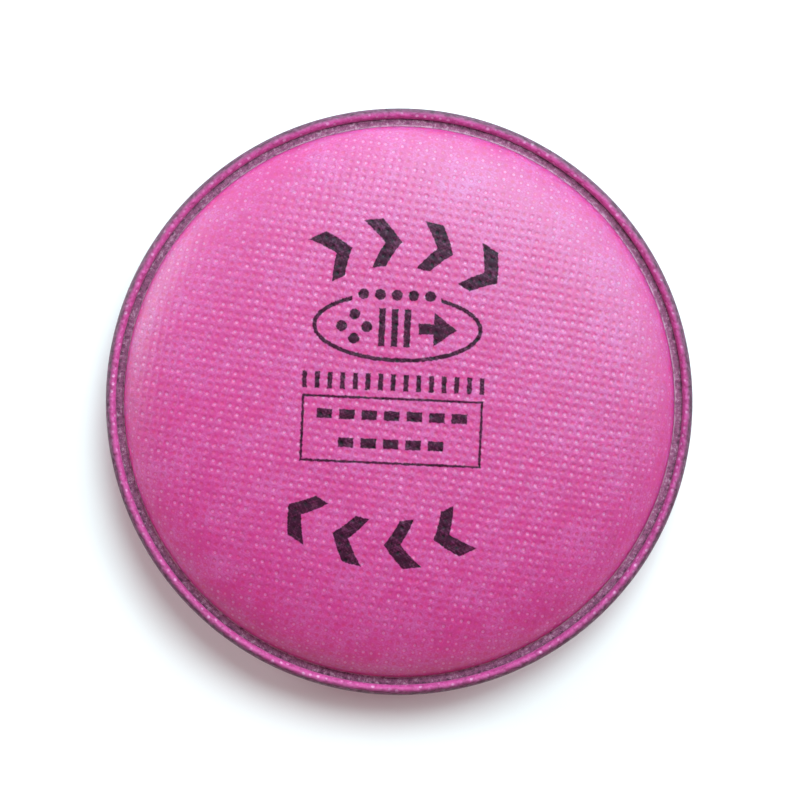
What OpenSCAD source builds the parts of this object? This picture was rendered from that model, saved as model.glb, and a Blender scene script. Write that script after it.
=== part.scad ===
// Disc-shaped particulate filter for a respirator, with a bayonet collar.
// Two walls of stacked webs are fused at the rim; the collar is clamped to the rear wall.
// Millimetres. The disc lies on the collar's seal face at z = 0, front cover up (+Z).

/* [Disc] */
// Outer diameter of the disc, over the rim lip
disc_d = 104; // [96:1:112]
// Height of the front pillow above the rim
front_h = 8.9; // [6:0.1:11]
// Depth of the rear pillow below the rim
rear_h = 5; // [4.6:0.1:6]
// Roundness of the pillow's shoulders, higher is squarer
shoulder = 3.4; // [2.4:0.1:4.4]

/* [Rim] */
// Width of the raised lip outside the fused groove
lip_w = 1.7; // [1.2:0.1:2.4]
// Height of the lip above the groove floor
lip_h = 1.1; // [0.6:0.1:1.6]
// Width of the fused groove
weld_w = 1.5; // [1:0.1:2.2]
// Thickness of the fused groove
weld_t = 1; // [0.8:0.1:1.4]

/* [Walls] */
// Share of the front pillow's height that its webs fill
front_fill = 0.42; // [0.3:0.01:0.5]
// Share of the rear pillow's depth that its webs fill
rear_fill = 0.5; // [0.4:0.01:0.55]

/* [Bayonet collar] */
// Diameter of the port that takes the facepiece's spigot
port_d = 31.6; // [30:0.1:33]
// Diameter that the spigot's lugs turn in, behind the lip
lug_d = 37.2; // [36:0.1:38]
// Outer diameter of the collar
collar_d = 42; // [41:0.5:46]
// Thickness of the lip that the lugs hook behind
hook_t = 2; // [1.6:0.1:2.4]
// Distance from the seal face to the rear cover
stand_off = 3.4; // [3:0.1:5]
// Width of the two wide lug notches, in degrees
notch_wide = 26; // [22:1:28]
// Width of the narrow keyed notch, in degrees
notch_key = 20; // [16:1:24]

/* [Hidden] */
$fn = 96;

// How the webs of one wall share its thickness, from the cover inwards.
WEB_SHARES = [0, 0.09, 0.28, 0.47, 0.66, 0.91, 1];
WEBS = len(WEB_SHARES) - 1;
gap = 0.02;           // air between two webs, so that they stay separate solids
arc_steps = 18;       // segments of a pillow's profile
eps = 0.01;

disc_r = disc_d / 2;
weld_or = disc_r - lip_w;
weld_ir = weld_or - weld_w;
pillow_r = weld_ir - gap;
pressed_t = weld_t / 2 / WEBS;     // a web's thickness where it meets the weld
mid_z = stand_off + rear_h + weld_t / 2;

collar_r = collar_d / 2;
port_r = port_d / 2;
lug_r = lug_d / 2;
adhesive_t = 0.15;
flange_t = 1;
flange_r = collar_r + 4;
flange_z = rear_z(WEBS, pillow_angle(flange_r)) + adhesive_t + 2 * gap;
fit = 0.05;           // clearance round the collar's tube
edge = 0.5;           // moulded edges' chamfer
clamp_t = 1.4;
clamp_r = flange_r + 0.6;
clamp_z = rear_z(0, pillow_angle(collar_r + fit)) - gap - clamp_t;

baffle_r = flange_r - 2;
baffle_t = 1;
baffle_z = flange_z + flange_t + 2.8;
post_count = 6;
post_w = 3;
post_t = 1.8;

ramp_rise = 0.8;
ramp_deg = 44;
stop_deg = 5;
stop_h = 2.4;
root = 0.5;           // how far a cam is rooted in the collar
// Each notch: the angle of its middle and its width.
NOTCHES = [[90, notch_key], [210, notch_wide], [330, notch_wide]];

// A pillow's profile is a superellipse: radius and share of its height at angle p, 0 on the axis.
function pillow_radius(p) = pillow_r * pow(sin(p), 2 / shoulder);
function pillow_angle(r) = asin(pow(r / pillow_r, shoulder / 2));
function between(a, b) = [for (i = [0:arc_steps]) a + (b - a) * i / arc_steps];

// Height of the surface between web k-1 and web k of the front and of the rear wall.
function front_z(k, p) =
    mid_z + (WEBS - k) * pressed_t + front_h * cos(p) * (1 - front_fill * WEB_SHARES[k]);
function rear_z(k, p) =
    mid_z - (WEBS - k) * pressed_t - rear_h * cos(p) * (1 - rear_fill * WEB_SHARES[k]);

// Points along one of those surfaces, from radius r0 out to the rim, moved up by dz.
function front_line(k, r0, dz = 0) =
    [for (p = between(pillow_angle(r0), 90)) [pillow_radius(p), front_z(k, p) + dz]];
function rear_line(k, r0, dz = 0) =
    [for (p = between(pillow_angle(r0), 90)) [pillow_radius(p), rear_z(k, p) + dz]];
function reversed(v) = [for (i = [len(v) - 1:-1:0]) v[i]];

// Web k of the front wall, a closed dome of its own thickness.
module front_web(k) {
    rotate_extrude()
        polygon(concat(front_line(k, 0), reversed(front_line(k + 1, 0, gap))));
}

// Web k of the rear wall, with the hole that the collar passes through.
module rear_web(k) {
    hole_r = collar_r + fit;
    rotate_extrude()
        polygon(concat(rear_line(k, hole_r), reversed(rear_line(k + 1, hole_r, -gap))));
}

module tube(outer_r, inner_r, height) {
    difference() {
        cylinder(r = outer_r, h = height);
        translate([0, 0, -eps]) cylinder(r = inner_r, h = height + 2 * eps);
    }
}

// A ring segment of a rectangular section, from angle a0 over a sweep.
module segment(inner_r, outer_r, z0, height, a0, sweep) {
    rotate([0, 0, a0]) translate([0, 0, z0])
        rotate_extrude(angle = sweep)
            translate([inner_r, 0]) square([outer_r - inner_r, height]);
}

module front_cover_web() { color("#df67b2") front_web(0); }
module front_filter_web_outer() { color("#ece6ea") front_web(1); }
module front_filter_web_middle() { color("#ece6ea") front_web(2); }
module front_filter_web_inner() { color("#ece6ea") front_web(3); }
module front_carbon_web() { color("#3b383b") front_web(4); }
module front_inner_scrim() { color("#f3f1f2") front_web(5); }
module rear_inner_scrim() { color("#f3f1f2") rear_web(5); }
module rear_carbon_web() { color("#3b383b") rear_web(4); }
module rear_filter_web_inner() { color("#ece6ea") rear_web(3); }
module rear_filter_web_middle() { color("#ece6ea") rear_web(2); }
module rear_filter_web_outer() { color("#ece6ea") rear_web(1); }
module rear_cover_web() { color("#df67b2") rear_web(0); }

// Porous pad that holds the two walls apart. It passes over the baffle and round it.
module spacer_web() {
    hollow_r = baffle_r + 0.5;
    foot_r = flange_r + 0.3;
    color("#e9eaec") rotate_extrude()
        polygon(concat(
            front_line(WEBS, 0, -gap),
            reversed(rear_line(WEBS, foot_r, gap)),
            [[foot_r, flange_z + flange_t + fit],
             [hollow_r, flange_z + flange_t + fit],
             [hollow_r, baffle_z + baffle_t + fit],
             [0, baffle_z + baffle_t + fit]]
        ));
}

// Deflector plate over the port, on posts that stand on the collar's flange.
module baffle_plate() {
    post_z = flange_z + flange_t + fit;
    color("#d9dadc") {
        translate([0, 0, baffle_z]) cylinder(r = baffle_r, h = baffle_t);
        translate([0, 0, baffle_z - 0.8]) tube(baffle_r - 4, baffle_r - 5, 0.8 + eps);
        for (i = [0:post_count - 1]) rotate([0, 0, i * 360 / post_count])
            translate([baffle_r - 0.4 - post_t, -post_w / 2, post_z])
                cube([post_t, post_w, baffle_z - post_z + eps]);
    }
}

// The fused groove, where the webs of both walls are one.
module rim_weld() {
    color("#8e5a84") translate([0, 0, mid_z - weld_t / 2])
        tube(weld_or, weld_ir, weld_t);
}

// Half of the rim lip: the trimmed edge of one wall's webs, a rounded bead.
module rim_lip(height) {
    steps = 10;
    foot = weld_t / 2;
    inner_r = weld_or + gap;
    half_w = (disc_r - inner_r) / 2;
    rotate_extrude()
        polygon(concat(
            [[inner_r, gap / 2], [disc_r, gap / 2]],
            [for (i = [0:steps]) let (a = 180 * i / steps)
                [disc_r - half_w * (1 - cos(a)), foot + height * sin(a)]]
        ));
}

module front_rim_lip() { color("#d55aa6") translate([0, 0, mid_z]) rim_lip(lip_h); }
module rear_rim_lip() {
    color("#d55aa6") translate([0, 0, mid_z]) mirror([0, 0, 1]) rim_lip(lip_h * 0.7);
}

// One cam behind the hook lip: a ring segment cut by a tilted plane, then an end stop.
// Both sink into the lip and the tube's wall by root.
module lug_ramp(start) {
    inner_r = port_r + 0.4;
    outer_r = lug_r + root;
    tilt = atan(ramp_rise / (2 * lug_r * sin(ramp_deg / 2)));
    intersection() {
        segment(inner_r, outer_r, hook_t - root, ramp_rise + root, start, ramp_deg);
        rotate([0, 0, start + ramp_deg / 2])
            translate([0, 0, hook_t + ramp_rise / 2]) rotate([tilt, 0, 0])
                translate([0, -collar_d / 2, -collar_d]) cube(collar_d);
    }
    segment(inner_r, outer_r, hook_t - root, stop_h + root, start + ramp_deg - 1, stop_deg);
}

// Moulded tube with the hook lip at the seal face and the clamped flange inside the disc.
module bayonet_collar() {
    color("#b23f86") {
        difference() {
            union() {
                cylinder(r1 = collar_r - edge, r2 = collar_r, h = edge);
                translate([0, 0, edge]) cylinder(r = collar_r, h = flange_z + flange_t - edge);
                translate([0, 0, flange_z]) cylinder(r = flange_r, h = flange_t);
            }
            translate([0, 0, -eps]) cylinder(r = port_r, h = hook_t + 2 * eps);
            translate([0, 0, hook_t]) cylinder(r = lug_r, h = flange_z + flange_t);
            for (n = NOTCHES)
                segment(port_r - 1, lug_r, -eps, hook_t + 2 * eps, n[0] - n[1] / 2, n[1]);
        }
        for (n = NOTCHES) lug_ramp(n[0] + n[1] / 2 + 3);
    }
}

// Adhesive film between the flange and the rear wall's inner scrim.
module flange_adhesive() {
    color("#efe9d8") translate([0, 0, flange_z - adhesive_t - gap])
        tube(flange_r - 0.4, collar_r + fit, adhesive_t);
}

// Outer ring that clamps the rear wall against the flange.
module collar_clamp_ring() {
    color("#b23f86") translate([0, 0, clamp_z])
        difference() {
            union() {
                cylinder(r1 = clamp_r - edge, r2 = clamp_r, h = edge);
                translate([0, 0, edge]) cylinder(r = clamp_r, h = clamp_t - edge);
            }
            translate([0, 0, -eps]) cylinder(r = collar_r + fit, h = clamp_t + 2 * eps);
        }
}

front_cover_web();
front_filter_web_outer();
front_filter_web_middle();
front_filter_web_inner();
front_carbon_web();
front_inner_scrim();
spacer_web();
baffle_plate();
rear_inner_scrim();
rear_carbon_web();
rear_filter_web_inner();
rear_filter_web_middle();
rear_filter_web_outer();
rear_cover_web();
rim_weld();
front_rim_lip();
rear_rim_lip();
bayonet_collar();
flange_adhesive();
collar_clamp_ring();
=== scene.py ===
"""Looks of the particulate filter disc: embossed covers, stacked webs, fused rim, moulded collar.

The disc lies on its collar at z = 0, front cover up. Metres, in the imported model's own frame.
"""

import math

import bmesh
import bpy
import numpy as np
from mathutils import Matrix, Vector


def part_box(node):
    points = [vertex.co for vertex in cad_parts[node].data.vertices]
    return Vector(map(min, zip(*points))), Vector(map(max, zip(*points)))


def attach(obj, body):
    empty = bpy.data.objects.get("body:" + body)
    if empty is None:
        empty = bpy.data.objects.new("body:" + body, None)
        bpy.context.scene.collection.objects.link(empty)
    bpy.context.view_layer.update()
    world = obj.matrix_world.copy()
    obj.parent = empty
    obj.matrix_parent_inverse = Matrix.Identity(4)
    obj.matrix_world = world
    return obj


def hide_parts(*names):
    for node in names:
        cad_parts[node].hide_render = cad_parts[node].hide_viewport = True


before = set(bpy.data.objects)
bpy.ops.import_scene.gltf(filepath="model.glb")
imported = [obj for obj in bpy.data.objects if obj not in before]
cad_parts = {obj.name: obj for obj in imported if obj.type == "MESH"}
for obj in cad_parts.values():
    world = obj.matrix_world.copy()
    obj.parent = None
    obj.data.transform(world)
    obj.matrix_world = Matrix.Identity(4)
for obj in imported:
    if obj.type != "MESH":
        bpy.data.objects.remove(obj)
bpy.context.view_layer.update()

MM = 0.001
RANDOM = np.random.default_rng(20)
BODY = "root"

# The covers' shape and emboss.
SHOULDER = 3.4                   # exponent of the pillow's superellipse, as in the CAD part
PITCH = 1.44 * MM                # between two bond points
LATTICE_TURN = math.radians(-10)
BOND_FLOOR, BOND_RIM = 0.17, 0.32        # a bond point's radii, in pitches
BOND_DEPTH = 0.13 * MM           # how far a bond point is pressed in, where the cover is thick
BOND_SHARE = 0.45                # most of a cover's thickness that a bond point takes
PUFF = 0.02 * MM                 # how far the fabric stands proud between bond points
SWELL = 0.05 * MM                # height of the slow waviness of a cover
LEAST_LEFT = 0.3                 # share of a cover's thickness that nothing presses into
RUN_OUT = 1.5 * MM               # width of the band at the rim where the emboss runs out
BOND_TABLE = 128                 # cells each way in the tables of how the bond points differ

# How the webs of a wall share its thickness, from the cover inwards, as in the CAD part.
WEB_SHARES = (0, 0.09, 0.28, 0.47, 0.66, 0.91, 1)
FRONT_FILL, REAR_FILL = 0.42, 0.5        # share of each pillow that its webs fill
WEB_GAP = 0.02 * MM              # air between two webs

# The smooth faces of two neighbouring webs have their rings at the same places, and don't cross.
WEB_RINGS, WEB_STEPS = 34, 200           # rings from the middle to the rim, steps round each
WEB_START = 0.6 * MM             # radius of the innermost ring
RIM_STEPS = 1500                 # steps round the groove and each lip


def radii(node):
    """Smallest and largest distance of a CAD node from the disc's axis."""
    away = [math.hypot(v.co.x, v.co.y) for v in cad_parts[node].data.vertices]
    return min(away), max(away)


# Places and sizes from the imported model.
WELD_LOW, WELD_HIGH = (corner.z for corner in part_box("rim_weld"))
MID_Z = (WELD_LOW + WELD_HIGH) / 2
WELD_R = radii("rim_weld")[1]
DISC_R = radii("front_rim_lip")[1]
CLAMP_R = radii("collar_clamp_ring")[1]
HOLE_R, PILLOW_R = radii("rear_cover_web")
FRONT_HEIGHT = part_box("front_cover_web")[1].z - WELD_HIGH
REAR_HEIGHT = (WELD_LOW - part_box("rear_cover_web")[0].z) / math.sqrt(1 - (HOLE_R / PILLOW_R) ** SHOULDER)

# The print on the front cover: its middle in mm, as all its sizes are, and its turn from upright.
PRINT_MIDDLE = (-1.1, 1.4)
PRINT_TURN = math.radians(-2.5)


# ---------------------------------------------------------------- meshes


def make_piece(name, points, faces, material, bond=None):
    """A mesh object that rides on the disc, with outward normals, smooth but for edges over 55 degrees."""
    mesh = bpy.data.meshes.new(name)
    mesh.from_pydata([tuple(p) for p in points], [], faces)
    work = bmesh.new()
    work.from_mesh(mesh)
    bmesh.ops.recalc_face_normals(work, faces=work.faces)
    work.to_mesh(mesh)
    work.free()
    if bond is not None:
        attribute = mesh.attributes.new("bond", "FLOAT", "POINT")
        attribute.data.foreach_set("value", np.asarray(bond, np.float32))
    mesh.shade_smooth()
    mesh.set_sharp_from_angle(angle=math.radians(55))
    mesh.materials.append(material)
    piece = bpy.data.objects.new(name, mesh)
    bpy.context.scene.collection.objects.link(piece)
    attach(piece, BODY)
    return piece


def revolved(r, z, closed):
    """Points and faces of a ring or dome. r and z have a row for each point of the profile and a
    column for each step round. A closed profile makes a ring; an open one has both ends on the axis."""
    rows, steps = r.shape
    turn = np.linspace(0, 2 * math.pi, steps, endpoint=False)
    points = np.stack([r * np.cos(turn), r * np.sin(turn), z], axis=2).reshape(-1, 3)
    here = np.arange(rows * steps).reshape(rows, steps)
    after = np.roll(here, -1, axis=1)
    last = rows if closed else rows - 1
    faces = []
    for i in range(last):
        j = (i + 1) % rows
        faces += np.stack([here[i], here[j], after[j], after[i]], axis=1).tolist()
    if not closed:
        middle = len(points)
        points = np.vstack([points, [[0, 0, z[0].mean()], [0, 0, z[-1].mean()]]])
        faces += [(middle, a, b) for a, b in zip(here[0].tolist(), after[0].tolist())]
        faces += [(middle + 1, b, a) for a, b in zip(here[-1].tolist(), after[-1].tolist())]
    return points, faces


class Surface:
    """One face of a wall: a superellipse dome from the rim, upwards or downwards.

    A place on it is given by the length s along its meridian, as on the flat sheet before forming."""

    def __init__(self, foot_z, crown_z, hole_r=0.0):
        start = math.asin((hole_r / PILLOW_R) ** (SHOULDER / 2))
        p = np.linspace(start, math.pi / 2, 4000)
        self.r = PILLOW_R * np.sin(p) ** (2 / SHOULDER)
        self.z = foot_z + (crown_z - foot_z) * np.cos(p)
        step = np.hypot(np.diff(self.r), np.diff(self.z))
        self.s = hole_r + np.concatenate([[0], np.cumsum(step)])
        self.side = math.copysign(1, crown_z - foot_z)
        self.length = self.s[-1]

    def at(self, s):
        """Radius and height at s, and the outward normal's two parts."""
        r = np.interp(s, self.s, self.r)
        z = np.interp(s, self.s, self.z)
        reach = 0.1 * MM
        ahead = np.clip(s + reach, self.s[0], self.length)
        behind = np.clip(s - reach, self.s[0], self.length)
        dr = np.interp(ahead, self.s, self.r) - np.interp(behind, self.s, self.r)
        dz = np.interp(ahead, self.s, self.z) - np.interp(behind, self.s, self.z)
        size = np.hypot(dr, dz) + 1e-12
        return r, z, -dz / size * self.side, dr / size * self.side


def waves(x, y, size, seed, count=6):
    """A slow, smooth unevenness over a place, about -1 to 1, with features of about that size."""
    random = np.random.default_rng(seed)
    total = np.zeros(np.broadcast(x, y).shape)
    for _ in range(count):
        heading, phase = random.uniform(0, 2 * math.pi, 2)
        wave = size * random.uniform(0.7, 1.6)
        total += np.sin((x * math.cos(heading) + y * math.sin(heading)) * 2 * math.pi / wave + phase)
    return total / math.sqrt(count)


# How strong each bond point is, and how far it lies off its place, in pitches.
BOND_STRENGTH = RANDOM.uniform(0.4, 1.05, (BOND_TABLE, BOND_TABLE))
BOND_SHIFT = RANDOM.normal(0, 0.06, (BOND_TABLE, BOND_TABLE, 2)).clip(-0.12, 0.12)


def from_bond_point(u, v):
    """How far (u, v) is from the nearest bond point's middle, in pitches, and how strong that bond is."""
    c, s = math.cos(LATTICE_TURN), math.sin(LATTICE_TURN)
    a, b = (u * c + v * s) / PITCH, (v * c - u * s) / PITCH
    i, j = np.round(a).astype(int) % BOND_TABLE, np.round(b).astype(int) % BOND_TABLE
    shift = BOND_SHIFT[i, j]
    return np.hypot(a - np.round(a) - shift[..., 0], b - np.round(b) - shift[..., 1]), BOND_STRENGTH[i, j]


def bond_profile(away):
    """1 in a bond point's middle to 0 at its rim; away is in pitches."""
    return np.interp(away, [0, BOND_FLOOR, BOND_RIM], [1, 0.85, 0])


def bond_points(u, v):
    """0 to 1: how far the sheet is pressed at (u, v) by the lattice of bond points."""
    away, strength = from_bond_point(u, v)
    return strength * bond_profile(away)


def bond_lattice(reach):
    """Flat points and faces of square cells with a round bond point in each: a middle point, a ring
    round its floor and a ring on its rim, and a cell's border that is shared with its neighbours."""
    count = math.ceil(reach / PITCH) + 1
    size = 2 * count + 1
    cells = np.arange(-count, count + 1)
    i, j = (grid.ravel() for grid in np.meshgrid(cells, cells, indexing="ij"))
    middle = np.stack([i, j], axis=1) + BOND_SHIFT[i % BOND_TABLE, j % BOND_TABLE]
    turn = np.arange(8) * math.pi / 4
    spokes = np.stack([np.cos(turn), np.sin(turn)], axis=1)
    floor = middle[:, None] + BOND_FLOOR * spokes
    rim = middle[:, None] + BOND_RIM * spokes
    border = np.array([(a / 2, b / 2) for a in range(-2 * count - 1, 2 * count + 2)
                       for b in range(-2 * count - 1, 2 * count + 2)])
    cell = np.arange(size * size)
    inside = (1 + 8 + 8) * size * size       # each cell's middle point and its two rings
    floors = size * size + 8 * cell[:, None] + np.arange(8)
    rims = floors + 8 * size * size
    wide = 2 * size + 1
    steps = np.array([(1, 0), (1, 1), (0, 1), (-1, 1), (-1, 0), (-1, -1), (0, -1), (1, -1)])
    corner = 2 * (np.stack([i, j], axis=1) + count)[:, None] + 1 + steps
    borders = inside + corner[..., 0] * wide + corner[..., 1]
    points = np.vstack([middle, floor.reshape(-1, 2), rim.reshape(-1, 2), border]) * PITCH
    c, s = math.cos(LATTICE_TURN), math.sin(LATTICE_TURN)
    points = points @ np.array([[c, s], [-s, c]])
    near = np.hypot(*points[:size * size].T) < reach + 1.5 * PITCH
    faces = []
    for k in range(8):
        m = (k + 1) % 8
        faces += np.stack([cell, floors[:, k], floors[:, m]], axis=1)[near].tolist()
        faces += np.stack([floors[:, k], rims[:, k], rims[:, m], floors[:, m]], axis=1)[near].tolist()
        faces += np.stack([rims[:, k], borders[:, k], borders[:, m], rims[:, m]], axis=1)[near].tolist()
    return points, faces


def cut_to_circle(flat, faces, radius, inside):
    """Cuts faces along a circle round the middle and keeps the ones inside it, or outside it."""
    flat = flat.copy()
    snap = 0.02 * MM
    away = (radius - np.hypot(*flat.T)) * (1 if inside else -1)
    close = np.abs(away) < snap
    flat[close] *= (radius / np.hypot(*flat[close].T))[:, None]
    away[close] = 0
    kept, cuts, extra = [], {}, []
    for face in faces:
        values = [away[i] for i in face]
        if min(values) >= 0:
            if max(values) > 0:
                kept.append(tuple(face))
            continue
        if max(values) <= 0:
            continue
        polygon = []
        for i, j in zip(face, [*face[1:], face[0]]):
            if away[i] >= 0:
                polygon.append(i)
            if away[i] * away[j] < 0:
                key = (min(i, j), max(i, j))
                if key not in cuts:
                    cuts[key] = len(flat) + len(extra)
                    point = flat[i] + (flat[j] - flat[i]) * away[i] / (away[i] - away[j])
                    extra.append(point * radius / np.hypot(*point))
                polygon.append(cuts[key])
        kept.append(tuple(polygon))
    return np.vstack([flat, extra]), kept


def open_edges(faces):
    """The points on the faces' open edges."""
    edges = {(i, j) for face in faces for i, j in zip(face, [*face[1:], face[0]])}
    return sorted({i for i, j in edges if (j, i) not in edges})


def used_only(flat, faces):
    """The same mesh without the points that no face uses."""
    used = sorted({i for face in faces for i in face})
    number = dict(zip(used, range(len(used))))
    return flat[used], [tuple(number[i] for i in face) for face in faces]


def zip_rings(first, first_turn, second, second_turn):
    """Triangles between two rings of points, which are given with their angles round the axis."""
    a, b = np.argsort(first_turn), np.argsort(second_turn)
    first, second = [first[i] for i in a], [second[i] for i in b]
    turn_a = [*np.asarray(first_turn)[a], first_turn[a[0]] + 2 * math.pi]
    turn_b = [*np.asarray(second_turn)[b], second_turn[b[0]] + 2 * math.pi]
    first.append(first[0])
    second.append(second[0])
    faces, i, j = [], 0, 0
    while i < len(a) or j < len(b):
        if j == len(b) or (i < len(a) and turn_a[i + 1] <= turn_b[j + 1]):
            faces.append((first[i], first[i + 1], second[j]))
            i += 1
        else:
            faces.append((first[i], second[j + 1], second[j]))
            j += 1
    return faces


def embossed_cover(name, outer, inner, material, hole_r):
    """A cover web: a closed sheet with the bond points on its outer face and a smooth inner face."""
    flat, faces = bond_lattice(outer.length)
    flat, faces = cut_to_circle(flat, faces, outer.length, inside=True)
    if hole_r:
        flat, faces = cut_to_circle(flat, faces, hole_r, inside=False)
    flat, faces = used_only(flat, faces)
    u, v = flat.T
    s, turn = np.hypot(u, v), np.arctan2(v, u)
    r, z, normal_r, normal_z = outer.at(s)
    inner_r, inner_z, _, _ = inner.at(s * (inner.length / outer.length))
    thick = np.abs(z - inner_z) * np.abs(normal_z)
    away, strength = from_bond_point(u, v)
    bond = strength * bond_profile(away)
    edge = np.clip((outer.length - s) / RUN_OUT, 0, 1)
    if hole_r:
        edge = edge * np.clip((s - hole_r) / (0.5 * MM), 0, 1)
    puff = np.clip(away - BOND_RIM, 0, 1) / 0.3 * (1 + 0.4 * waves(u, v, 3 * MM, seed=3))
    rise = PUFF * puff + SWELL * waves(u, v, 24 * MM, seed=4)
    rise = (rise - np.minimum(BOND_DEPTH, BOND_SHARE * thick) * bond) * edge
    rise = np.maximum(rise, (LEAST_LEFT - 1) * thick)
    if hole_r:
        # The clamp ring holds the fabric down, which rises again over 1 mm outside it.
        rise = np.where(rise > 0, rise * np.clip((r - CLAMP_R) / MM, 0, 1), rise)
    r, z = r + rise * normal_r, z + rise * normal_z
    points = np.stack([r * np.cos(turn), r * np.sin(turn), z], axis=1)

    steps, rows = WEB_STEPS, WEB_RINGS
    lengths = np.linspace(max(hole_r, WEB_START), inner.length, rows)
    back_r, back_z, _, _ = inner.at(lengths)
    round_turn = np.linspace(-math.pi, math.pi, steps, endpoint=False)
    back = np.stack(
        [np.outer(back_r, np.cos(round_turn)), np.outer(back_r, np.sin(round_turn)),
         np.outer(back_z, np.ones(steps))], axis=2).reshape(-1, 3)
    base = len(points)
    here = base + np.arange(rows * steps).reshape(rows, steps)
    after = np.roll(here, -1, axis=1)
    faces += [tuple(q) for i in range(rows - 1)
              for q in np.stack([here[i], after[i], after[i + 1], here[i + 1]], axis=1).tolist()]
    points = np.vstack([points, back])
    rim = open_edges(faces[:-(rows - 1) * steps])
    outer_rim = [i for i in rim if s[i] > outer.length - 0.01 * MM]
    faces += zip_rings(outer_rim, turn[outer_rim], here[-1].tolist(), round_turn)
    if hole_r:
        inner_rim = [i for i in rim if s[i] < hole_r + 0.01 * MM]
        faces += zip_rings(inner_rim, turn[inner_rim], here[0].tolist(), round_turn)
    else:
        points = np.vstack([points, [[0, 0, inner.z[0]]]])
        faces += [(len(points) - 1, b, a) for a, b in zip(here[0].tolist(), after[0].tolist())]
    bond = np.concatenate([bond * edge, np.zeros(len(points) - base)])
    return make_piece(name, points, faces, material, bond)


def felt_web(name, outer, inner, material, hole_r, seed, lumps):
    """An inner web: a closed sheet between two surfaces, with soft lumps pressed into both its faces."""
    steps, rows = WEB_STEPS, WEB_RINGS
    turn = np.linspace(0, 2 * math.pi, steps, endpoint=False)
    profile_r, profile_z = [], []
    for surface, inwards, order in ((outer, -1, 1), (inner, 1, -1)):
        start = max(hole_r, WEB_START)
        s = np.linspace(start, surface.length, rows)[::order]
        r, z, _, normal_z = surface.at(s)
        x, y = np.outer(r, np.cos(turn)), np.outer(r, np.sin(turn))
        lump = 0.5 + 0.25 * waves(x, y, 2.2 * MM, seed, 8) + 0.25 * waves(x, y, 0.9 * MM, seed + 1, 8)
        fade = np.clip((PILLOW_R - r) / (6 * MM), 0, 1)[:, None]
        profile_r.append(np.repeat(r[:, None], steps, axis=1))
        profile_z.append(z[:, None] + inwards * surface.side * lumps * np.clip(lump, 0, 1) * fade)
    r, z = np.vstack(profile_r), np.vstack(profile_z)
    points, faces = revolved(r, z, closed=hole_r > 0)
    return make_piece(name, points, faces, material)


def rim_groove(name, material):
    """The fused groove: a ring with a fine radial knurl that climbs the pillow's foot on its inside."""
    ridges = 900
    gather = 1.1                 # the covers are gathered here, so their bond points stand closer
    inner_r, outer_r = PILLOW_R + WEB_GAP, WELD_R
    turn = np.linspace(0, 2 * math.pi, RIM_STEPS, endpoint=False)
    across = np.array([0, 0.03, 0.07, 0.11, 0.17, 0.28, 0.42, 0.56, 0.70, 0.84, 0.94, 1])
    sink = np.array([-0.34, -0.22, -0.08, 0.06, 0.12, 0.10, 0.08, 0.07, 0.06, 0.06, 0.07, 0.10]) * MM
    r = inner_r + (outer_r - inner_r) * across
    x, y = np.outer(r, np.cos(turn)), np.outer(r, np.sin(turn))
    knurl = 0.5 + 0.5 * np.sin(turn * ridges + 2 * waves(x, y, 3 * MM, seed=8))
    middle = np.clip(4 * across * (1 - across), 0, 1)[:, None]
    bond = bond_points(x * gather, y * gather)
    depth = sink[:, None] + (0.035 * MM * knurl + 0.05 * MM * bond) * middle
    half = (WELD_HIGH - WELD_LOW) / 2
    top, under = MID_Z + half - depth, MID_Z - half + depth
    around = np.repeat(r[:, None], RIM_STEPS, axis=1)
    points, faces = revolved(np.vstack([around, around[::-1]]), np.vstack([top, under[::-1]]), closed=True)
    marks = np.vstack([bond, bond[::-1]]).ravel()
    return make_piece(name, points, faces, material, marks)


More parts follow.
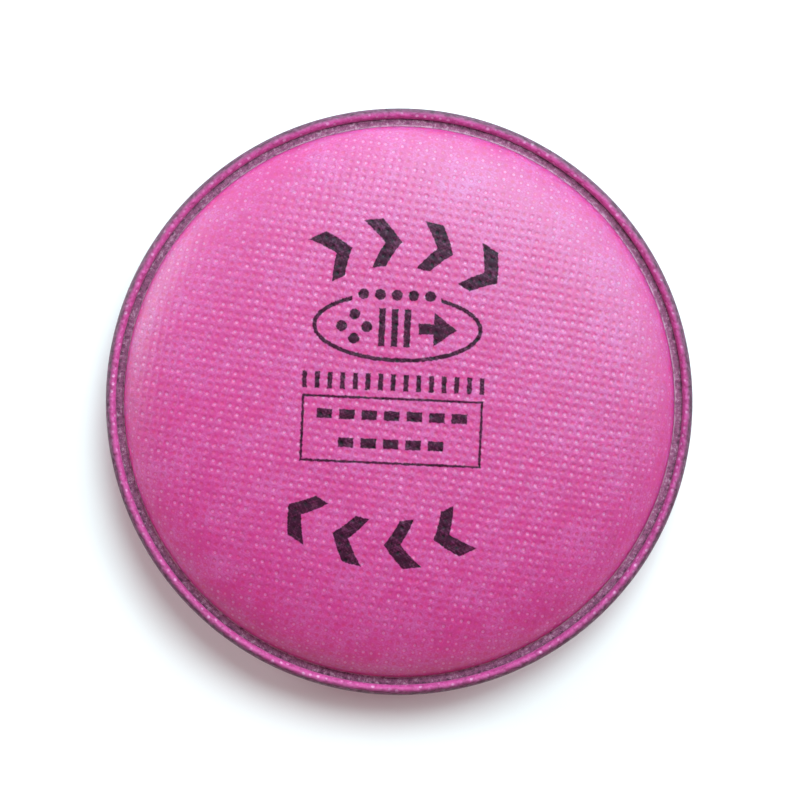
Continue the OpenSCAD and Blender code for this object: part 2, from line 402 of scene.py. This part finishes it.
def lip_bead(name, node, side, material):
    """Half of the rim lip: a rounded bead with bond points on it, cut off square at the outside."""
    most_proud = 0.08 * MM       # how far the unevenness may stand out past the disc's radius
    low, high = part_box(node)
    tall = high.z - low.z
    foot = (WELD_HIGH - WELD_LOW) / 2
    inner_r = WELD_R + WEB_GAP
    wide = DISC_R - inner_r
    # The bead's outline: share of its width from the groove, and share of its height from the middle.
    # The share of 0.3 lies level with the groove's face, and the bead leans over the groove above it.
    outline = np.array([
        [0.00, 0.00], [0.00, 0.30], [-0.08, 0.335], [-0.11, 0.37], [-0.10, 0.48], [-0.06, 0.62],
        [0.00, 0.74], [0.06, 0.84], [0.13, 0.91], [0.21, 0.96], [0.30, 0.99], [0.39, 1.00],
        [0.48, 0.99], [0.57, 0.96], [0.66, 0.91], [0.75, 0.84], [0.83, 0.75], [0.90, 0.64],
        [0.96, 0.50], [1.00, 0.34], [1.00, 0.19], [0.985, 0.12], [1.00, 0.06], [1.00, 0.00]])
    turn = np.linspace(0, 2 * math.pi, RIM_STEPS, endpoint=False)
    r0 = inner_r + wide * outline[:, 0]
    z0 = np.interp(outline[:, 1], [0, 0.3, 1], [0, foot, tall])
    x, y = np.outer(r0, np.cos(turn)), np.outer(r0, np.sin(turn))
    slope_r, slope_z = np.gradient(r0), np.gradient(z0)
    size = np.hypot(slope_r, slope_z)
    normal_r, normal_z = -slope_z / size, slope_r / size
    travel = np.concatenate([[0], np.cumsum(np.hypot(np.diff(r0), np.diff(z0)))])
    stretch = (inner_r + travel) / r0
    bond = bond_points(x * stretch[:, None], y * stretch[:, None])
    fabric = np.clip(outline[:, 1] * 2.2 - 0.7, 0, 1)[:, None]
    uneven = 0.05 * MM * waves(x, y, 7 * MM, seed=11) + 0.03 * MM * waves(x, y, 1.3 * MM, seed=12)
    rise = (uneven - 0.10 * MM * bond) * fabric
    inside = outline[:, 1][:, None] > 0
    rise = np.where(inside, rise, 0)
    r = r0[:, None] + rise * normal_r[:, None]
    z = z0[:, None] + rise * normal_z[:, None]
    r = np.minimum(r, DISC_R + most_proud)
    middle_z = low.z if side > 0 else high.z
    points, faces = revolved(r, middle_z + side * z, closed=True)
    return make_piece(name, points, faces, material, (bond * fabric).ravel())


# ---------------------------------------------------------------- materials


class Field:
    """A number that varies over a surface, in one material. Arithmetic on it adds Math nodes."""

    def __init__(self, tree, socket):
        self.tree, self.socket = tree, socket

    def join(self, operation, *others):
        node = self.tree.nodes.new("ShaderNodeMath")
        node.operation = operation
        for entry, value in zip(node.inputs, (self, *others)):
            feed(self.tree, entry, value)
        return Field(self.tree, node.outputs[0])

    def __add__(self, other):
        return self.join("ADD", other)

    def __sub__(self, other):
        return self.join("SUBTRACT", other)

    def __mul__(self, other):
        return self.join("MULTIPLY", other)

    def __truediv__(self, other):
        return self.join("DIVIDE", other)

    def __abs__(self):
        return self.join("ABSOLUTE")

    def least(self, other):
        return self.join("MINIMUM", other)

    def most(self, other):
        return self.join("MAXIMUM", other)

    def between(self, low, high):
        """0 below low, 1 above high, smooth between; high may be the smaller one."""
        node = self.tree.nodes.new("ShaderNodeMapRange")
        node.interpolation_type = "SMOOTHSTEP"
        flip = low > high
        feed(self.tree, node.inputs["Value"], self)
        node.inputs["From Min"].default_value, node.inputs["From Max"].default_value = sorted((low, high))
        node.inputs["To Min"].default_value = 1 if flip else 0
        node.inputs["To Max"].default_value = 0 if flip else 1
        return Field(self.tree, node.outputs["Result"])


def feed(tree, entry, value):
    """Links a field to a socket, or sets a plain value on it."""
    if isinstance(value, Field):
        tree.links.new(value.socket, entry)
    else:
        entry.default_value = value


def length(a, b):
    return (a * a + b * b).join("SQRT")


def new_material(name, **sockets):
    """A material with its Principled shader; sockets are set by their names, _ for a space."""
    material = bpy.data.materials.new(name)
    material.use_nodes = True
    shader = material.node_tree.nodes["Principled BSDF"]
    for key, value in sockets.items():
        shader.inputs[key.replace("_", " ")].default_value = value
    return material, material.node_tree, shader


def place(tree):
    """The place on the object: its vector and its three parts."""
    vector = tree.nodes.new("ShaderNodeTexCoord").outputs["Object"]
    parts = tree.nodes.new("ShaderNodeSeparateXYZ")
    tree.links.new(vector, parts.inputs[0])
    return vector, *(Field(tree, parts.outputs[k]) for k in range(3))


def combined(tree, x, y, z):
    node = tree.nodes.new("ShaderNodeCombineXYZ")
    for entry, value in zip(node.inputs, (x, y, z)):
        feed(tree, entry, value)
    return node.outputs[0]


def noise(tree, vector, size, detail, turn=0.0, stretch=1.0, rough=0.5):
    """Noise of a feature size in metres. stretch draws it out along the heading turn, as fibres."""
    if stretch != 1 or turn:
        mapping = tree.nodes.new("ShaderNodeMapping")
        mapping.vector_type = "TEXTURE"
        mapping.inputs["Rotation"].default_value = (0, 0, turn)
        mapping.inputs["Scale"].default_value = (stretch, 1, 1)
        tree.links.new(vector, mapping.inputs["Vector"])
        vector = mapping.outputs[0]
    node = tree.nodes.new("ShaderNodeTexNoise")
    node.inputs["Scale"].default_value = 1 / size
    node.inputs["Detail"].default_value = detail
    node.inputs["Roughness"].default_value = rough
    tree.links.new(vector, node.inputs["Vector"])
    return Field(tree, node.outputs["Fac"])


def moved(tree, vector, by):
    """The same place, moved: for another part of a noise."""
    node = tree.nodes.new("ShaderNodeVectorMath")
    node.inputs[1].default_value = by
    tree.links.new(vector, node.inputs[0])
    return node.outputs[0]


def mixed(tree, share, first, second):
    """A colour between two colours, each a colour or a socket."""
    node = tree.nodes.new("ShaderNodeMix")
    node.data_type = "RGBA"
    feed(tree, node.inputs[0], share)
    for entry, colour in ((node.inputs[6], first), (node.inputs[7], second)):
        if isinstance(colour, bpy.types.NodeSocket):
            tree.links.new(colour, entry)
        else:
            entry.default_value = (*colour, 1)
    return node.outputs[2]


def bump(tree, shader, height, distance):
    node = tree.nodes.new("ShaderNodeBump")
    node.inputs["Distance"].default_value = distance
    node.inputs["Strength"].default_value = 1
    feed(tree, node.inputs["Height"], height)
    tree.links.new(node.outputs[0], shader.inputs["Normal"])


def stored(tree, name):
    node = tree.nodes.new("ShaderNodeAttribute")
    node.attribute_name = name
    return Field(tree, node.outputs["Fac"])


def fibres(tree, vector, width, headings=(-0.6, 0.35, 1.3, 2.1), stretch=14):
    """Crossing filaments of a nonwoven web, 0 to 1."""
    total = None
    for k, heading in enumerate(headings):
        strand = noise(tree, vector, width * (1 + 0.17 * k), 1.5, heading, stretch)
        strand = strand.between(0.42, 0.68)
        total = strand if total is None else total + strand
    return total / len(headings)


def print_distance(tree, x, y):
    """How far a place is from the print on the front cover, in mm; below 0 in the ink.

    The print has no letters: chevrons for the turn, a sign in an oval, a scale and a ruled box."""
    c, s = math.cos(-PRINT_TURN), math.sin(-PRINT_TURN)
    x_mm, y_mm = x / MM - PRINT_MIDDLE[0], y / MM - PRINT_MIDDLE[1]
    x, y = x_mm * c - y_mm * s, x_mm * s + y_mm * c

    def disc(cx, cy, radius):
        return length(x - cx, y - cy) - radius

    def bar(cx, cy, wide, tall, px=x):
        return (abs(px - cx) - wide / 2).most(abs(y - cy) - tall / 2)

    def ellipse(cx, cy, a, b):
        px, py = x - cx, y - cy
        out = length(px / a, py / b)
        return out * (out - 1) / length(px / a ** 2, py / b ** 2)

    def row(cx, cy, pitch, count, wide, tall):
        """A row of equal bars."""
        step = ((x - cx) / pitch + 0.5).join("FLOOR")
        step = step.most(-(count // 2)).least(count // 2)
        return bar(cx, cy, wide, tall, px=x - step * pitch)

    def turn_arrow(px, py):
        """Four chevrons on an arc over the middle, pointing clockwise."""
        radius, tall, rake, stroke = 26.3, 8.4, 0.72, 2.9
        out = abs(length(px, py) - radius)
        round_deg = px.join("ARCTAN2", py) * math.degrees(1)
        shape = None
        for middle in (-24.5, -5.5, 14.5, 34.5):
            along = (round_deg - middle) * (radius * math.radians(1))
            chevron = (abs(out * rake + along - rake * tall / 4) - stroke / 2).most(out - tall / 2)
            shape = chevron if shape is None else shape.least(chevron)
        return shape

    shapes = [turn_arrow(x, y), turn_arrow(x * -1, y * -1)]
    # The filter's sign, in an oval: grains, the layers that stop them, and the air that goes on.
    port_gap = bar(0, 17.2, 15.4, 3.4)
    shapes.append((abs(ellipse(0.3, 11.5, 14.4, 5.7)) - 0.36).most(port_gap * -1))
    for column, row_y in ((-9.4, 0.0), (-7.2, 2.1), (-7.2, -2.1), (-5.0, 0.0)):
        shapes.append(disc(column, 11.4 + row_y, 0.95))
    for column in (-2.4, -0.2, 2.0):
        shapes.append(bar(column, 11.4, 1.15, 6.6))
    shapes.append(bar(5.6, 11.4, 3.2, 1.9))
    ahead = (x * -1) + 10.6
    shapes.append((abs(y - 11.4) - ahead * 0.75).most(ahead * -1).most(ahead - 4.0))
    for k in range(-2, 3):
        shapes.append(disc(k * 2.9, 17.1, 0.95))
    # A scale, and a box with two ruled rows to write on.
    shapes.append(row(0, 1.9, 2.2, 15, 0.85, 2.9))
    shapes.append(abs(bar(0, -6.5, 31.0, 11.2)) - 0.22)
    shapes.append(row(0, -3.9, 3.9, 7, 2.7, 1.7))
    shapes.append(row(0, -8.8, 3.9, 5, 2.7, 1.7))
    total = shapes[0]
    for shape in shapes[1:]:
        total = total.least(shape)
    return total


INK = (0.036, 0.003, 0.018)
INK_DEEP = (0.010, 0.003, 0.007)
PINK = (0.475, 0.006, 0.172)
# Painted shade: the deeper, redder pink on each bond point's walls stands in for the shade in the pit.
PINK_PAINTED_PIT_SHADE = (0.485, 0.003, 0.120)
PINK_PALE = (0.495, 0.068, 0.282)
# Partly the paler fused film, partly a painted glint in each bond point's middle.
BOND_PALE_AND_PAINTED_GLINT = (0.52, 0.165, 0.40)


def cover_material(name, printed):
    """Point-bonded spunbond nonwoven: cloudy pink, crossing filaments, glossy fused bond points with
    painted shade on their walls and a pale middle that is partly a painted glint.
    """
    material, tree, shader = new_material(
        name, IOR=1.8, Specular_Tint=(0.5, 1, 1, 1),
        Subsurface_Weight=0.9, Subsurface_Radius=(1, 0.3, 0.55), Subsurface_Scale=1.3 * MM)
    shader.subsurface_method = "BURLEY"
    vector, x, y, _ = place(tree)
    clouds = noise(tree, moved(tree, vector, (0.0, 0.013, 0.004)), 6 * MM, 3, 0.5, 1.6, rough=0.6)
    wisps = noise(tree, vector, 2.2 * MM, 3, 0.9, 2.2, rough=0.6)
    strands = fibres(tree, vector, 0.26 * MM)
    fine = noise(tree, vector, 0.3 * MM, 3)
    bond = stored(tree, "bond")
    pale = clouds * 1.2 + wisps * 0.7 + strands * 0.8 + fine * 1.1 - 1.4
    colour = mixed(tree, pale.between(0.0, 1.0), PINK, PINK_PALE)
    # Painted shade on each bond point's walls.
    colour = mixed(tree, bond.between(0.0, 0.4) * 0.75, colour, PINK_PAINTED_PIT_SHADE)
    # Pale middle of each bond point: partly fused film, partly a painted glint.
    colour = mixed(tree, bond.between(0.42, 0.85) * 0.6, colour, BOND_PALE_AND_PAINTED_GLINT)
    gloss = bond.between(0.4, 0.8) * -0.07 + 0.51
    if printed:
        ragged = (noise(tree, vector, 0.5 * MM, 3) - 0.5) * 0.5
        ink = (print_distance(tree, x, y) + ragged).between(0.12, -0.12)
        ink = ink * (strands * -0.3 + 1.08).least(1)
        dark = mixed(tree, bond.between(0.15, 0.65), INK, INK_DEEP)
        colour = mixed(tree, ink, colour, dark)
        feed(tree, shader.inputs["Specular IOR Level"], ink * -0.42 + 0.5)
    tree.links.new(colour, shader.inputs["Base Color"])
    feed(tree, shader.inputs["Roughness"], gloss)
    bump(tree, shader, strands * 0.5 + fine * 0.5, 0.06 * MM)
    return material


def round_place(tree, x, y, z):
    """Radius from the axis, and the place unrolled: along the rim, across it, and up."""
    radius = length(x, y)
    along = y.join("ARCTAN2", x) * WELD_R
    return radius, combined(tree, along, radius, z)


def groove_material():
    """Webs melted into one: mauve, pale streaks at the pillow's foot that are a painted reflection, darker
    spots towards the lip's foot that are painted shade, and carbon specks.
    """
    material, tree, shader = new_material("fused_groove", IOR=1.48, Specular_IOR_Level=0.4)
    vector, x, y, z = place(tree)
    radius, unrolled = round_place(tree, x, y, z)
    bond = stored(tree, "bond")
    across = (radius - PILLOW_R) / (WELD_R - PILLOW_R)
    patches = noise(tree, unrolled, 1.2 * MM, 3, rough=0.65)
    knurl = noise(tree, unrolled, 0.22 * MM, 2, math.pi / 2, 5)
    grain = noise(tree, unrolled, 0.6 * MM, 3, rough=0.75)
    specks = noise(tree, vector, 0.16 * MM, 1)
    # The patchy pale band at the pillow's foot is a painted reflection of the lamps.
    pale = (patches.between(0.3, 0.55) * across.between(0.20, 0.05) + knurl.between(0.4, 0.7) * 0.25)
    colour = mixed(tree, pale.between(0, 1.2), (0.25, 0.057, 0.152), (0.60, 0.40, 0.50))
    # Painted shade: darker towards the lip's foot, in spots at the bond points, in the crease under the
    # lip.
    outside = across.between(0.35, 0.9) * (bond * 0.9 + 0.3) + patches.between(0.6, 0.4) * 0.2
    colour = mixed(tree, outside.between(0.1, 1.0), colour, (0.11, 0.026, 0.072))
    colour = mixed(tree, grain.between(0.52, 0.66) * 0.55, colour, (0.60, 0.38, 0.50))
    colour = mixed(tree, grain.between(0.46, 0.34) * 0.75, colour, (0.05, 0.014, 0.035))
    colour = mixed(tree, specks.between(0.66, 0.72), colour, (0.012, 0.010, 0.012))
    tree.links.new(colour, shader.inputs["Base Color"])
    feed(tree, shader.inputs["Roughness"], knurl * 0.25 + 0.3)
    bump(tree, shader, knurl * 0.6 + patches * 0.4, 0.05 * MM)
    return material


def lip_material():
    """The covers' pink on the bead, painted glints at its bond points, and the layers of the cut edge at
    its outside.
    """
    material, tree, shader = new_material(
        "rim_lip", Sheen_Weight=0.10, Sheen_Roughness=0.4, Sheen_Tint=(1, 0.93, 0.98, 1), IOR=1.48)
    vector, x, y, z = place(tree)
    radius, unrolled = round_place(tree, x, y, z)
    bond = stored(tree, "bond")
    strands = fibres(tree, vector, 0.28 * MM)
    patches = noise(tree, vector, 2.5 * MM, 3)
    pale = strands * 0.7 + patches * 0.4 - 0.2
    colour = mixed(tree, pale.between(0, 1), (0.52, 0.052, 0.26), (0.64, 0.13, 0.41))
    mottle = noise(tree, unrolled, 0.9 * MM, 3, rough=0.7)
    colour = mixed(tree, mottle.between(0.50, 0.38) * 0.5, colour, (0.26, 0.024, 0.12))
    # Painted glints: the bead's bond points are paler.
    colour = mixed(tree, bond.between(0.3, 0.8) * 0.7, colour, (0.74, 0.32, 0.58))
    layers = noise(tree, combined(tree, x * 0.15, y * 0.15, z), 0.16 * MM, 2)
    cut = mixed(tree, layers.between(0.38, 0.62), (0.050, 0.011, 0.031), (0.155, 0.037, 0.098))
    outside = (radius + (patches - 0.5) * (0.5 * MM)).between(DISC_R - 1.45 * MM, DISC_R - 0.45 * MM)
    colour = mixed(tree, outside, colour, cut)
    tree.links.new(colour, shader.inputs["Base Color"])
    feed(tree, shader.inputs["Roughness"], bond.between(0.2, 0.8) * -0.3 + 0.58)
    bump(tree, shader, strands, 0.09 * MM)
    return material


def felt_material(name, base, pale, width, depth):
    """Lofted fibre: two tones of one colour, long filaments and soft lumps."""
    material, tree, shader = new_material(name, Roughness=0.9, Sheen_Weight=0.3, Sheen_Roughness=0.6)
    vector, *_ = place(tree)
    strands = fibres(tree, vector, width, (0.2, 0.9, 1.7, 2.6), 18)
    clumps = noise(tree, vector, 3 * MM, 4)
    colour = mixed(tree, (strands * 0.8 + clumps * 0.5 - 0.1).between(0, 1), base, pale)
    tree.links.new(colour, shader.inputs["Base Color"])
    bump(tree, shader, strands * 0.8 + clumps * 0.2, depth)
    return material


def carbon_material():
    """Carbon granules held in a grey web."""
    material, tree, shader = new_material("carbon_felt", IOR=1.5)
    vector, *_ = place(tree)
    grains = tree.nodes.new("ShaderNodeTexVoronoi")
    grains.inputs["Scale"].default_value = 1 / (0.55 * MM)
    tree.links.new(vector, grains.inputs["Vector"])
    away = Field(tree, grains.outputs["Distance"])
    strands = fibres(tree, vector, 0.25 * MM)
    colour = mixed(tree, away.between(0.3, 0.62), (0.008, 0.008, 0.009), (0.10, 0.095, 0.10))
    colour = mixed(tree, strands.between(0.45, 0.8), colour, (0.34, 0.33, 0.34))
    tree.links.new(colour, shader.inputs["Base Color"])
    feed(tree, shader.inputs["Roughness"], away.between(0.2, 0.6) * 0.5 + 0.35)
    bump(tree, shader, away * -0.6 + strands * 0.3, 0.12 * MM)
    return material


def plastic_material(name, colour, shade, rough):
    """Moulded polypropylene: a faint flow pattern, a fine spark-eroded grain and small scuffs."""
    material, tree, shader = new_material(
        name, IOR=1.49, Subsurface_Weight=0.08, Subsurface_Radius=(1, 1, 1), Subsurface_Scale=0.6 * MM)
    vector, *_ = place(tree)
    flow = noise(tree, vector, 14 * MM, 3)
    grain = noise(tree, vector, 0.18 * MM, 2)
    scuffs = noise(tree, vector, 0.5 * MM, 3, 0.7, 12).between(0.62, 0.72)
    tint = mixed(tree, flow.between(0.3, 0.7), colour, shade)
    tree.links.new(tint, shader.inputs["Base Color"])
    feed(tree, shader.inputs["Roughness"], grain * 0.18 + scuffs * 0.15 + (rough - 0.09))
    bump(tree, shader, grain * 0.7 - scuffs * 0.3, 0.012 * MM)
    return material


def adhesive_material():
    """Hot-melt adhesive: cream and slightly clear."""
    material, tree, shader = new_material("hot_melt", IOR=1.5, Transmission_Weight=0.25)
    vector, *_ = place(tree)
    flow = noise(tree, vector, 2.5 * MM, 3)
    colour = mixed(tree, flow.between(0.3, 0.7), (0.80, 0.74, 0.58), (0.88, 0.85, 0.74))
    tree.links.new(colour, shader.inputs["Base Color"])
    feed(tree, shader.inputs["Roughness"], flow * 0.3 + 0.12)
    bump(tree, shader, flow, 0.05 * MM)
    return material


# ---------------------------------------------------------------- the disc


def wall_face(k, front):
    """The surface between web k-1 and web k of a wall, counted from the cover."""
    webs = len(WEB_SHARES) - 1
    pressed = (webs - k) * (WELD_HIGH - WELD_LOW) / 2 / webs
    if front:
        foot = MID_Z + pressed
        return Surface(foot, foot + FRONT_HEIGHT * (1 - FRONT_FILL * WEB_SHARES[k]))
    foot = MID_Z - pressed
    return Surface(foot, foot - REAR_HEIGHT * (1 - REAR_FILL * WEB_SHARES[k]), HOLE_R)


def web_faces(k, front):
    """Outer and inner surface of web k. A gap of air parts it from the next web."""
    outer, inner = wall_face(k, front), wall_face(k + 1, front)
    inner.z = inner.z + WEB_GAP * inner.side
    return outer, inner


def spacer(name, material):
    """The high-loft pad between the walls, hollow over the port where the baffle stands."""
    steps, top_rows, under_rows = WEB_STEPS, WEB_RINGS, 20
    top, under = wall_face(len(WEB_SHARES) - 1, True), wall_face(len(WEB_SHARES) - 1, False)
    flange_r, flange_top = radii("bayonet_collar")[1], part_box("bayonet_collar")[1].z
    baffle_r, baffle_top = radii("baffle_plate")[1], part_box("baffle_plate")[1].z
    fit = 0.05 * MM
    foot_r, hollow_r = flange_r + 0.3 * MM, baffle_r + 0.5 * MM
    top_r, top_z, _, _ = top.at(np.linspace(WEB_START, top.length, top_rows))
    under_start = np.interp(foot_r, under.r, under.s)
    under_r, under_z, _, _ = under.at(np.linspace(under.length, under_start, under_rows))
    wall_r = [foot_r, hollow_r, hollow_r, hollow_r, *np.linspace(hollow_r * 0.9, WEB_START, 12)]
    wall_z = [flange_top + fit, flange_top + fit, (flange_top + baffle_top) / 2] + [baffle_top + fit] * 13
    r = np.concatenate([top_r, under_r, wall_r])
    # At the rim both faces end on either side of the middle plane, and don't cross.
    sliver = 0.002 * MM
    top_z = np.maximum(top_z - WEB_GAP, MID_Z + sliver)
    under_z = np.minimum(under_z + WEB_GAP, MID_Z - sliver)
    z = np.concatenate([top_z, under_z, wall_z])
    inwards = np.concatenate([-np.ones(top_rows), np.ones(under_rows), np.zeros(3), np.ones(13)])
    turn = np.linspace(0, 2 * math.pi, steps, endpoint=False)
    x, y = np.outer(r, np.cos(turn)), np.outer(r, np.sin(turn))
    lump = 0.5 + 0.25 * waves(x, y, 2.6 * MM, 31, 8) + 0.25 * waves(x, y, 1.1 * MM, 32, 8)
    fade = np.clip((PILLOW_R - r) / (8 * MM), 0, 1)
    z = z[:, None] + (inwards * fade)[:, None] * 0.25 * MM * np.clip(lump, 0, 1)
    points, faces = revolved(np.repeat(r[:, None], steps, axis=1), z, closed=False)
    return make_piece(name, points, faces, material)


def declare(node, flat_r, hole_r):
    """Hides a web's CAD node. The area of the round sheet that it was cut from is worked out, and nothing
    uses it.
    """
    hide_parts(node)
    area = math.pi * (flat_r ** 2 - hole_r ** 2)


# Each inner web: its CAD node without the wall's name, its piece, its slot, its seed and its lumps.
INNER_WEBS = (
    ("filter_web_outer", "filter_felt_outer", "filter_media", 40, 0.08 * MM),
    ("filter_web_middle", "filter_felt_middle", "filter_media", 50, 0.08 * MM),
    ("filter_web_inner", "filter_felt_inner", "filter_media", 60, 0.08 * MM),
    ("carbon_web", "carbon_felt", "carbon_media", 70, 0.12 * MM),
    ("inner_scrim", "scrim_cloth", "scrim_fabric", 80, 0.03 * MM),
)


def build_walls():
    """Both walls, from the embossed covers inwards, and the spacer between them."""
    felts = {
        "filter_media": felt_material(
            "filter_felt", (0.70, 0.68, 0.69), (0.90, 0.88, 0.90), 0.16 * MM, 0.08 * MM),
        "carbon_media": carbon_material(),
        "scrim_fabric": felt_material(
            "scrim_cloth", (0.74, 0.74, 0.75), (0.92, 0.92, 0.93), 0.10 * MM, 0.03 * MM),
    }
    for wall, front in (("front", True), ("rear", False)):
        hole_r = 0.0 if front else HOLE_R
        outer, inner = web_faces(0, front)
        fabric = cover_material(wall + "_cover_nonwoven", printed=front)
        cover = embossed_cover(wall + "_cover_fabric", outer, inner, fabric, hole_r)
        declare(wall + "_cover_web", outer.length, hole_r)
        for k, (node, name, slot, seed, lumps) in enumerate(INNER_WEBS, start=1):
            outer, inner = web_faces(k, front)
            web = felt_web(f"{wall}_{name}", outer, inner, felts[slot], hole_r, seed, lumps)
            declare(f"{wall}_{node}", outer.length, hole_r)
    loft = felt_material("spacer_loft", (0.66, 0.67, 0.69), (0.88, 0.89, 0.90), 0.4 * MM, 0.3 * MM)
    pad = spacer("spacer_loft", loft)
    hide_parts("spacer_web")


def build_rim():
    """The fused groove and the two halves of the lip."""
    groove = rim_groove("fused_rim_groove", groove_material())
    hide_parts("rim_weld")
    bead = lip_material()
    for wall, side in (("front", 1), ("rear", -1)):
        lip = lip_bead(wall + "_lip_bead", wall + "_rim_lip", side, bead)
        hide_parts(wall + "_rim_lip")


def finish_moulded_parts():
    """Materials for the CAD nodes that stay."""
    collar = plastic_material("collar_polypropylene", (0.42, 0.040, 0.205), (0.36, 0.032, 0.175), 0.38)
    baffle = plastic_material("baffle_polypropylene", (0.70, 0.70, 0.71), (0.64, 0.64, 0.66), 0.38)
    for node, material in (("bayonet_collar", collar), ("collar_clamp_ring", collar),
                           ("baffle_plate", baffle), ("flange_adhesive", adhesive_material())):
        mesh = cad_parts[node].data
        mesh.materials.clear()
        mesh.materials.append(material)
        for face in mesh.polygons:
            face.material_index = 0


# ---------------------------------------------------------------- the studio


LAMP_SIZE = 0.55                 # metres across
# Each lamp: its name, place, watts and colour. +Y is the top of the print.
LAMPS = (
    ("key", (0.19, 0.49, 0.73), 8.5, (0.80, 0.98, 1)),
    ("back", (0.05, 0.85, 0.30), 4.0, (0.62, 1, 1)),
    ("corner", (0.62, 0.56, 0.30), 1.5, (0.50, 1, 1)),
    ("left", (-0.78, 0.36, 0.26), 5.6, (0.93, 1, 1)),
    ("right", (0.69, 0.23, 0.53), 3.8, (0.87, 1, 1)),
    ("fill", (0.0, -0.80, 0.35), 1.4, (1, 0.22, 0.32)),
)


def aim(thing, target):
    thing.rotation_euler = (Vector(target) - thing.location).to_track_quat("-Z", "Y").to_euler()


def add_light(name, location, watts, colour):
    """A soft round lamp that faces the disc."""
    data = bpy.data.lights.new(name, "AREA")
    data.shape, data.size, data.energy, data.color = "DISK", LAMP_SIZE, watts, colour
    light = bpy.data.objects.new(name, data)
    light.location = location
    bpy.context.scene.collection.objects.link(light)
    aim(light, (0, 0, MID_Z))


def build_studio():
    """A pale floor, the soft lamps, a dim pinkish surrounding and a camera straight above."""
    scene = bpy.context.scene
    floor_material, tree, shader = new_material("pale_floor", Roughness=0.8)
    vector, *_ = place(tree)
    grain = noise(tree, vector, 0.05, 3)
    tone = mixed(tree, grain.between(0.3, 0.7), (0.88, 0.88, 0.88), (0.90, 0.90, 0.90))
    tree.links.new(tone, shader.inputs["Base Color"])
    bpy.ops.mesh.primitive_circle_add(vertices=96, radius=4, fill_type="NGON", location=(0, 0, 0))
    floor = bpy.context.object
    floor.name = "floor"
    floor.data.materials.append(floor_material)

    for lamp in LAMPS:
        add_light(*lamp)
    world = bpy.data.worlds.new("studio")
    world.use_nodes = True
    world.node_tree.nodes["Background"].inputs["Color"].default_value = (1, 0.84, 0.86, 1)
    world.node_tree.nodes["Background"].inputs["Strength"].default_value = 0.20
    scene.world = world

    data = bpy.data.cameras.new("camera")
    data.lens, data.sensor_width, data.clip_start = 100, 36, 0.01
    camera = bpy.data.objects.new("camera", data)
    share_of_view = 0.7325        # how much of the view's width the disc takes up
    away = DISC_R / share_of_view * data.lens / (data.sensor_width / 2)
    camera.location = (0.14 * MM, 0.30 * MM, MID_Z + away)
    camera.rotation_euler = (0, 0, 0)
    scene.collection.objects.link(camera)
    scene.camera = camera
    scene.view_settings.view_transform = "Standard"


build_walls()
build_rim()
finish_moulded_parts()
build_studio()
